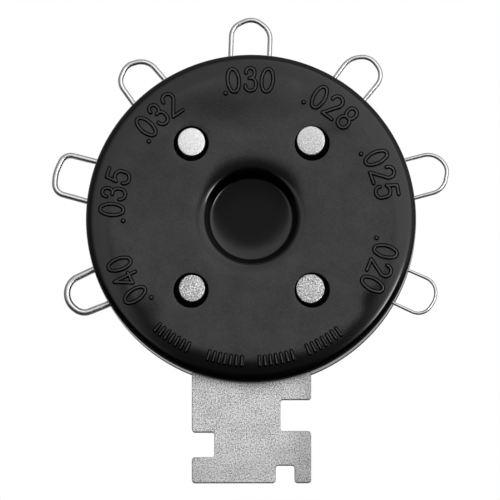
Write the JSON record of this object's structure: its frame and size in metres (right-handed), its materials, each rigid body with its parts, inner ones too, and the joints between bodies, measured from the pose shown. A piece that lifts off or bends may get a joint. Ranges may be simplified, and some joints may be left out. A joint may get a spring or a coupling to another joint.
{
  "type": "wire gap gauge",
  "caption": "Round wire feeler gauge for spark plug gaps: moulded disc body, sized wire loops round its rim and a slotted blade for bending the electrode.",
  "frame": {"origin": "on the disc axis, in the flat back face that the gauge lies on", "axes": "+Z out of the numbered front face, +Y towards the .030 wire, blade along -Y, +X to the right as seen from the front"},
  "size_m": [0.0611, 0.072, 0.0083],
  "materials": {
    "black_plastic": "satin moulded, fine grain",
    "blade_steel": "zinc plated, fine speckled grain, matt",
    "rivet_steel": "bright, finely speckled, satin",
    "wire_steel": "polished hard-drawn steel wire"
  },
  "bodies": {
    "root": {"front_cover": "black_plastic", "rear_cover": "black_plastic", "bending_blade": "blade_steel", "rivets": "rivet_steel", "wire_020": "wire_steel", "wire_025": "wire_steel", "wire_028": "wire_steel", "wire_030": "wire_steel", "wire_032": "wire_steel", "wire_035": "wire_steel", "wire_040": "wire_steel"}
  },
  "joints": []
}
